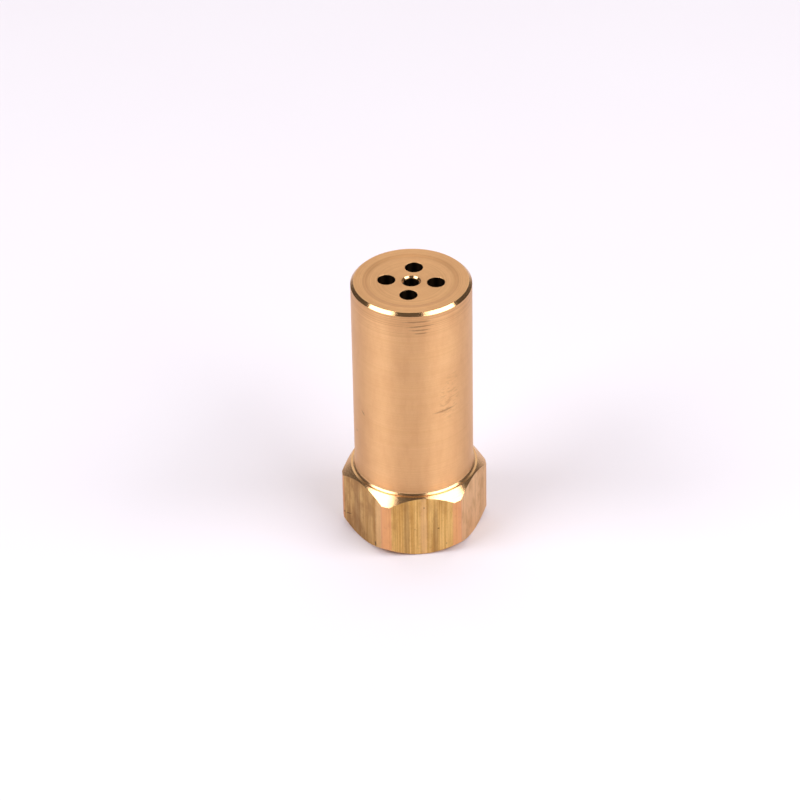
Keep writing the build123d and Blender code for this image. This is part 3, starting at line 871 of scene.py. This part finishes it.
def make_machined(name, pale, deep, stain, pitch, roughness, cover=0.40, strength=0.30, polish=0.0):
    """Rings between a pale and a deep tone, blotches of stain, and rubbed specks that shine more."""
    material, tree, shader = new_material(name, Metallic=1.0, Anisotropic=0.5,
                                          Anisotropic_Rotation=UP_THE_BARREL)
    place = use(tree, PLACE)
    rings = use(tree, TOOL_MARKS, Point=place["Point"], Feed=place["Feed"], Pitch=pitch)
    blotches = use(tree, STAIN, Point=place["Point"], Size=1.6, Cover=cover)["Mask"]
    specks = use(tree, STAIN, Point=place["Point"], Size=0.35, Cover=0.36)["Mask"]
    colour = tint(tree, rings["Tone"], rgb(*deep), rgb(*pale))
    colour = tint(tree, share_of(tree, blotches, 0.32), colour, rgb(*stain))
    colour = tint(tree, share_of(tree, specks, 0.22), colour, rgb(*stain))
    feed(tree, shader["Base Color"], colour)
    rough = calc(tree, "ADD", roughness, calc(tree, "MULTIPLY", blotches, 0.14))
    rough = calc(tree, "SUBTRACT", rough, calc(tree, "MULTIPLY", specks, polish))
    feed(tree, shader["Roughness"], rough)
    bump = add(tree, "ShaderNodeBump",
               {"Strength": strength, "Distance": 0.010 * MM, "Height": rings["Height"]})
    feed(tree, shader["Normal"], bump.outputs[0])
    lay_round_axis(tree, shader)
    return material


def make_phosphate():
    """The dark crystal coat of a circlip: fine two-sized grain, worn to steel at the highest grains."""
    material, tree, shader = new_material("phosphated_steel", Metallic=0.75)
    point = use(tree, PLACE)["Point"]
    crystals = noise(tree, point, 14.0, 4.0, 0.7)
    clouds = noise(tree, point, 0.9, 3.0)
    worn = use(tree, STAIN, Point=point, Size=0.5, Cover=0.30)["Mask"]
    colour = tint(tree, ramp(tree, crystals, 0.35, 0.65), rgb(44, 45, 49), rgb(74, 76, 80))
    colour = tint(tree, share_of(tree, ramp(tree, clouds, 0.45, 0.70), 0.45), colour, rgb(60, 54, 50))
    colour = tint(tree, share_of(tree, worn, 0.50), colour, rgb(128, 130, 134))
    feed(tree, shader["Base Color"], colour)
    feed(tree, shader["Roughness"], calc(tree, "SUBTRACT", 0.62, calc(tree, "MULTIPLY", worn, 0.25)))
    bump = add(tree, "ShaderNodeBump", {"Strength": 0.5, "Distance": 0.008 * MM, "Height": crystals})
    feed(tree, shader["Normal"], bump.outputs[0])
    return material


def make_rubber():
    """Matt nitrile: fine grain, a grey bloom in the hollows and a few pale specks of dust."""
    material, tree, shader = new_material("seal_rubber", Specular_IOR_Level=0.35)
    point = use(tree, PLACE)["Point"]
    grain = noise(tree, point, 9.0, 4.0, 0.7)
    bloom = use(tree, STAIN, Point=point, Size=1.2, Cover=0.42)["Mask"]
    dust = use(tree, STAIN, Point=point, Size=0.2, Cover=0.28)["Mask"]
    colour = tint(tree, ramp(tree, grain, 0.3, 0.7), rgb(34, 34, 36), rgb(50, 50, 52))
    colour = tint(tree, share_of(tree, bloom, 0.35), colour, rgb(78, 78, 80))
    colour = tint(tree, share_of(tree, dust, 0.30), colour, rgb(132, 130, 126))
    feed(tree, shader["Base Color"], colour)
    feed(tree, shader["Roughness"], calc(tree, "ADD", 0.58, calc(tree, "MULTIPLY", bloom, 0.20)))
    bump = add(tree, "ShaderNodeBump", {"Strength": 0.4, "Distance": 0.010 * MM, "Height": grain})
    feed(tree, shader["Normal"], bump.outputs[0])
    return material


def make_polished_ball():
    """Bearing steel: a mirror with fine scratches two ways and a thin brown oil ring at its seat."""
    material, tree, shader = new_material("ball_steel", Metallic=1.0)
    place = use(tree, PLACE)
    scratches = noise(tree, stretched(tree, place["Point"], (18.0, 3.0, 7.0)), 1.0, 4.0, 0.7)
    crossing = noise(tree, stretched(tree, place["Point"], (4.0, 16.0, 5.0)), 1.0, 4.0, 0.7)
    hairs = calc(tree, "MAXIMUM", ramp(tree, scratches, 0.62, 0.70), ramp(tree, crossing, 0.62, 0.70))
    seat_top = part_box("valve_seat")[1][2]
    contact = seat_top / MM - 0.2
    film = calc(tree, "MULTIPLY", ramp(tree, place["Height"], contact - 0.3, contact),
                ramp(tree, place["Height"], contact + 0.5, contact + 0.1))
    colour = tint(tree, share_of(tree, hairs, 0.45), rgb(222, 224, 228), rgb(176, 178, 184))
    colour = tint(tree, share_of(tree, film, 0.50), colour, rgb(158, 132, 98))
    feed(tree, shader["Base Color"], colour)
    feed(tree, shader["Roughness"], calc(tree, "ADD", 0.07, calc(tree, "MULTIPLY", hairs, 0.16)))
    return material


fine_brass = make_machined("swirler_brass", (240, 202, 128), (222, 178, 102), (150, 108, 58), 0.07, 0.24)
spider_brass = make_machined("spider_brass", (232, 190, 118), (208, 162, 92), (136, 98, 54), 0.12,
                             0.34, 0.46)
stem_brass = make_machined("stem_brass", (232, 186, 122), (206, 158, 98), (132, 92, 54), 0.11, 0.30, 0.44)
spring_steel = make_machined("spring_steel", (158, 160, 166), (116, 118, 124), (86, 72, 58), 0.05,
                             0.30, 0.44, 0.2)
jet_steel = make_machined("jet_steel", (212, 212, 214), (184, 184, 188), (138, 128, 116), 0.06, 0.20,
                          0.36, 0.25, 0.05)
copper = make_machined("copper", (232, 150, 116), (206, 116, 84), (126, 66, 62), 0.09, 0.36, 0.48)
gauze_bronze = make_machined("gauze_bronze", (214, 160, 98), (178, 124, 70), (104, 74, 44), 0.04,
                             0.34, 0.48)
phosphate = make_phosphate()
rubber = make_rubber()
ball_steel = make_polished_ball()

FINISHES = {
    "air_swirler": fine_brass,
    "guide_spider": spider_brass,
    "wave_washer": spring_steel,
    "retaining_circlip": phosphate,
    "jet_washer": copper,
    "swirl_core": jet_steel,
    "strainer_collar": fine_brass,
    "strainer_cap": fine_brass,
    "seat_seal": rubber,
    "valve_seat": jet_steel,
    "check_ball": ball_steel,
    "ball_guide": fine_brass,
}
for node, finish in FINISHES.items():
    dress(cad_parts[node], finish)
print("frame pieces dressed:", len(FINISHES))

# %% [markdown]
# Three inner pieces carry threads. Each is a merged copy of the frame's piece with the same
# tool carved out of it as the pipe thread: a female M6 and M8 in the stem, a male M8 on the jet
# and a fine male thread on the lock screw.

# %% Threaded pieces
M6_PITCH = 1.0 * MM
JET_PITCH = 0.75 * MM
SCREW_PITCH = 0.35 * MM
METRIC_DEPTH = 0.5413


def copy_of(node):
    """A merged copy of a frame piece, ready to be cut."""
    piece = bpy.data.objects.new(f"{node}_cut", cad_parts[node].data.copy())
    bpy.context.collection.objects.link(piece)
    piece.data.materials.clear()
    return merge_close(piece)


def place_cut_piece(piece, node, finish):
    """The cut copy in the frame piece's place, dressed and riding on the same body."""
    merge_close(piece)
    smooth(piece, 28.0)
    dress(piece, finish)
    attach(piece, "nozzle")
    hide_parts(node)
    print(node, "faces:", len(piece.data.polygons))
    return piece


stem_low, stem_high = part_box("oil_stem")
jet_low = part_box("oil_jet")[0]
screw_low, screw_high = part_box("lock_screw")
collar_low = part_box("strainer_collar")[0]
washer_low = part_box("jet_washer")[0]
OIL_MINOR = 2.4585 * MM
OIL_MAJOR = 3.0 * MM
JET_BORE = 4.0 * MM
JET_SHANK = 3.95 * MM
SCREW_RADIUS = 2.25 * MM

stem = copy_of("oil_stem")
oil_tap = thread_tool("oil_tap", OIL_MINOR, OIL_MAJOR, M6_PITCH, stem_low[2] - M6_PITCH,
                      collar_low[2] - M6_PITCH / 2)
carve(stem, oil_tap)
jet_depth = METRIC_DEPTH * JET_PITCH
jet_tap = thread_tool("jet_tap", JET_BORE, JET_BORE + jet_depth, JET_PITCH, jet_low[2] + JET_PITCH / 2,
                      stem_high[2] + JET_PITCH)
carve(stem, jet_tap)
place_cut_piece(stem, "oil_stem", stem_brass)

jet = copy_of("oil_jet")
jet_die = thread_tool("jet_die", JET_SHANK, JET_SHANK - jet_depth, JET_PITCH, jet_low[2] - JET_PITCH,
                      washer_low[2] - JET_PITCH / 2)
carve(jet, jet_die)
place_cut_piece(jet, "oil_jet", jet_steel)

screw = copy_of("lock_screw")
screw_depth = METRIC_DEPTH * SCREW_PITCH
screw_die = thread_tool("screw_die", SCREW_RADIUS, SCREW_RADIUS - screw_depth, SCREW_PITCH,
                        screw_low[2] - SCREW_PITCH, screw_high[2] + SCREW_PITCH)
carve(screw, screw_die)
place_cut_piece(screw, "lock_screw", fine_brass)

# %% [markdown]
# The valve spring is a round wire on a helix. Its two end coils lie closed and are ground
# flat, so the pitch is small at both ends and the wire is cut off level with its seats.

# %% Valve spring
spring_low, spring_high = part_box("check_spring")
WIRE = 0.4 * MM
SPRING_RADIUS = 1.65 * MM
SPRING_TURNS = 6
TURN_STEPS = 40
WIRE_SIDES = 12


def tube_along(path, wire_radius, sides):
    """A closed round tube: circles in the plane across the path, and a cap at each end.

    Across the path, one direction points away from the Z axis and the other is at right
    angles to it and to the path.
    """
    forward = np.gradient(path, axis=0)
    forward /= np.linalg.norm(forward, axis=1)[:, None]
    outward = path * np.array([1.0, 1.0, 0.0])
    outward -= (outward * forward).sum(axis=1)[:, None] * forward
    outward /= np.linalg.norm(outward, axis=1)[:, None]
    beside = np.cross(forward, outward)
    turn = np.linspace(0.0, 2 * np.pi, sides, endpoint=False)[None, :, None]
    circle = np.cos(turn) * outward[:, None] + np.sin(turn) * beside[:, None]
    rings = path[:, None, :] + wire_radius * circle
    row = np.arange(len(path) - 1)[:, None] * sides
    side = np.arange(sides)[None, :]
    following = (side + 1) % sides
    faces = np.stack([row + side, row + following, row + sides + following, row + sides + side], axis=2)
    last = (len(path) - 1) * sides
    caps = [list(range(sides))[::-1], [last + k for k in range(sides)]]
    return rings.reshape(-1, 3), faces.reshape(-1, 4).tolist() + caps


def spring_path():
    """The wire's middle line: the height climbs one wire in the first and last turn and evenly between."""
    turns = np.linspace(0.0, SPRING_TURNS, SPRING_TURNS * TURN_STEPS + 1)
    bottom, top = spring_low[2] + WIRE / 2, spring_high[2] - WIRE / 2
    knots = [0.0, 1.0, SPRING_TURNS - 1.0, SPRING_TURNS]
    height = np.interp(turns, knots,
                       [bottom - WIRE / 4, bottom + 0.8 * WIRE, top - 0.8 * WIRE, top + WIRE / 4])
    angle = 2 * np.pi * turns
    return np.column_stack([SPRING_RADIUS * np.cos(angle), SPRING_RADIUS * np.sin(angle), height])


spring_points, spring_faces = tube_along(spring_path(), WIRE / 2, WIRE_SIDES)
spring_points[:, 2] = np.clip(spring_points[:, 2], spring_low[2], spring_high[2])
spring = put_mesh("valve_spring", spring_points, spring_faces)
smooth(spring, 40.0)
dress(spring, spring_steel)
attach(spring, "nozzle")
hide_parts("check_spring")
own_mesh(spring)

# %% [markdown]
# The strainer is a plain-weave tube: upright wires and rings that pass over and under each
# other. Where an upright runs outside a ring at one crossing, it runs inside at the next, so
# both are waves in radius, and the two waves are opposite where they meet.

# %% Woven strainer
gauze_low, gauze_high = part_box("strainer_gauze")
GAUZE_RADIUS = 1.875 * MM
GAUZE_WIRE = 0.055 * MM
WEAVE = 0.058 * MM
UPRIGHTS = 36
RINGS = 11
CELL_STEPS = 4
GAUZE_SIDES = 5


def weave_gauze():
    """Wires that pass over and under each other, with z measured up from the foot of the tube.

    Upright k: radius = middle + weave * (-1)^k * sin(pi * z / cell).
    Ring j: radius = middle - weave * (-1)^j * cos(uprights * angle / 2).
    """
    bottom, top = gauze_low[2], gauze_high[2]
    cell = (top - bottom) / RINGS
    points, faces = [], []
    count = 0

    def collect(path):
        nonlocal count
        some, their_faces = tube_along(path, GAUZE_WIRE, GAUZE_SIDES)
        points.append(some)
        faces.extend([[index + count for index in face] for face in their_faces])
        count += len(some)

    height = np.linspace(bottom, top, RINGS * CELL_STEPS + 1)
    wave = np.cos(np.pi * ((height - bottom) / cell - 0.5))
    for upright in range(UPRIGHTS):
        angle = 2 * np.pi * upright / UPRIGHTS
        radius = GAUZE_RADIUS + WEAVE * (-1) ** upright * wave
        collect(np.column_stack([radius * math.cos(angle), radius * math.sin(angle), height]))
    angle = np.linspace(0.0, 2 * np.pi, UPRIGHTS * CELL_STEPS + 1)
    for ring in range(RINGS):
        radius = GAUZE_RADIUS - WEAVE * (-1) ** ring * np.cos(UPRIGHTS * angle / 2)
        level = np.full(len(angle), bottom + (ring + 0.5) * cell)
        collect(np.column_stack([radius * np.cos(angle), radius * np.sin(angle), level]))
    return np.vstack(points), faces


gauze = put_mesh("woven_gauze", *weave_gauze())
smooth(gauze, 50.0)
dress(gauze, gauze_bronze)
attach(gauze, "nozzle")
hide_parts("strainer_gauze")
print("gauze faces:", len(gauze.data.polygons))

# %% [markdown]
# The floor is a plain pale sheet with the faintest unevenness, and the light is a soft studio:
# a dim even room, one large panel each side of the camera, one overhead and one behind. The
# two side panels make the upright bands on the barrel and the white corners of the chamfer.

# %% Floor and light
FLOOR_SIZE = 3.0
ROOM_STRENGTH = 0.11


def make_floor():
    """A square sheet at z = 0, whose colour drifts very slightly."""
    half = FLOOR_SIZE / 2
    points = np.array([[-half, -half, 0.0], [half, -half, 0.0], [half, half, 0.0], [-half, half, 0.0]])
    mesh = bpy.data.meshes.new("floor")
    mesh.from_pydata(points.tolist(), [], [[0, 1, 2, 3]])
    floor = bpy.data.objects.new("floor", mesh)
    bpy.context.collection.objects.link(floor)
    material, tree, shader = new_material("pale_floor", Roughness=0.9)
    drift = noise(tree, use(tree, PLACE)["Point"], 0.02, 2.0)
    feed(tree, shader["Base Color"], tint(tree, drift, (0.80, 0.725, 0.745, 1.0), (0.81, 0.745, 0.76, 1.0)))
    dress(floor, material)
    return floor


def make_panel(name, turn, rise, distance, width, tall, radiance, colour=(1.0, 1.0, 1.0)):
    """A soft panel that faces the middle of the nozzle, turned in degrees from the camera's own direction.

    The power of an even panel is its radiance times pi times its area.
    """
    azimuth = CAMERA_TURN - math.pi / 2 + math.radians(turn)
    lift = math.radians(rise)
    away = np.array([math.cos(lift) * math.cos(azimuth), math.cos(lift) * math.sin(azimuth),
                     math.sin(lift)])
    side = np.array([-math.sin(azimuth), math.cos(azimuth), 0.0])
    upward = np.cross(away, side)
    matrix = np.eye(4)
    matrix[:3, 0], matrix[:3, 1], matrix[:3, 2] = side, upward, away
    matrix[:3, 3] = away * distance + np.array([0.0, 0.0, HEIGHT / 2])
    data = bpy.data.lights.new(name, "AREA")
    data.shape = "RECTANGLE"
    data.size, data.size_y = width, tall
    data.energy = radiance * math.pi * width * tall
    data.color = colour
    panel = bpy.data.objects.new(name, data)
    panel.matrix_world = matrix.T.tolist()
    bpy.context.collection.objects.link(panel)
    return panel


COOL = (0.95, 1.0, 1.08)
make_floor()
make_panel("panel_left", -67.0, 43.0, 0.9, 0.60, 0.42, 6.6, COOL)
make_panel("panel_right", 60.0, 43.0, 0.9, 0.80, 0.42, 6.3, COOL)
make_panel("panel_top", 180.0, 78.0, 1.0, 0.8, 0.5, 2.7)
make_panel("panel_back", 180.0, 27.0, 1.1, 1.7, 0.8, 0.82)

world = bpy.data.worlds.new("studio")
world.use_nodes = True
world.node_tree.nodes["Background"].inputs["Color"].default_value = (1.0, 0.985, 1.0, 1.0)
world.node_tree.nodes["Background"].inputs["Strength"].default_value = ROOM_STRENGTH
bpy.context.scene.world = world
bpy.context.scene.view_settings.view_transform = "Standard"
